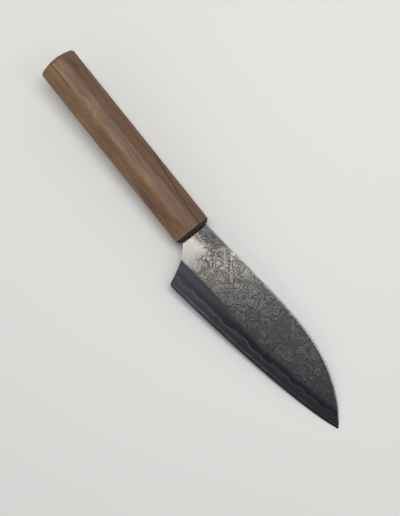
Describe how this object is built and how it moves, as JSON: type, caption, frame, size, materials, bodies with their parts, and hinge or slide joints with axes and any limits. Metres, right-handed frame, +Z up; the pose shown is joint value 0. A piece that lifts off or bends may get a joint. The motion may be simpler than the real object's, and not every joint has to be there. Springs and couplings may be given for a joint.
{
  "type": "japanese kitchen knife",
  "caption": "Small kitchen knife with a layered, curved-spine blade on a hidden tang and a softly eight-sided wooden handle, lying on its side.",
  "frame": {"origin": "middle of the handle's lower flat, which the knife is laid on", "axes": "+X along the handle towards the point, +Y from the edge towards the spine, +Z up, square to the blade's middle plane, out of its right face"},
  "size_m": [0.2737, 0.0461, 0.02],
  "materials": {
    "core_steel": "dark satin, ground along the edge",
    "layered_steel": "etched layered pattern, bright above the bevel and dark satin on it",
    "handle_wood": "oiled open-grained brown wood",
    "dowel_wood": "bare hardwood",
    "resin": "dark bedding resin"
  },
  "bodies": {
    "root": {"core_steel": "core_steel", "cladding_right": "layered_steel", "cladding_left": "layered_steel", "handle": "handle_wood", "tang_dowel": "dowel_wood", "tang_resin": "resin"}
  },
  "joints": []
}
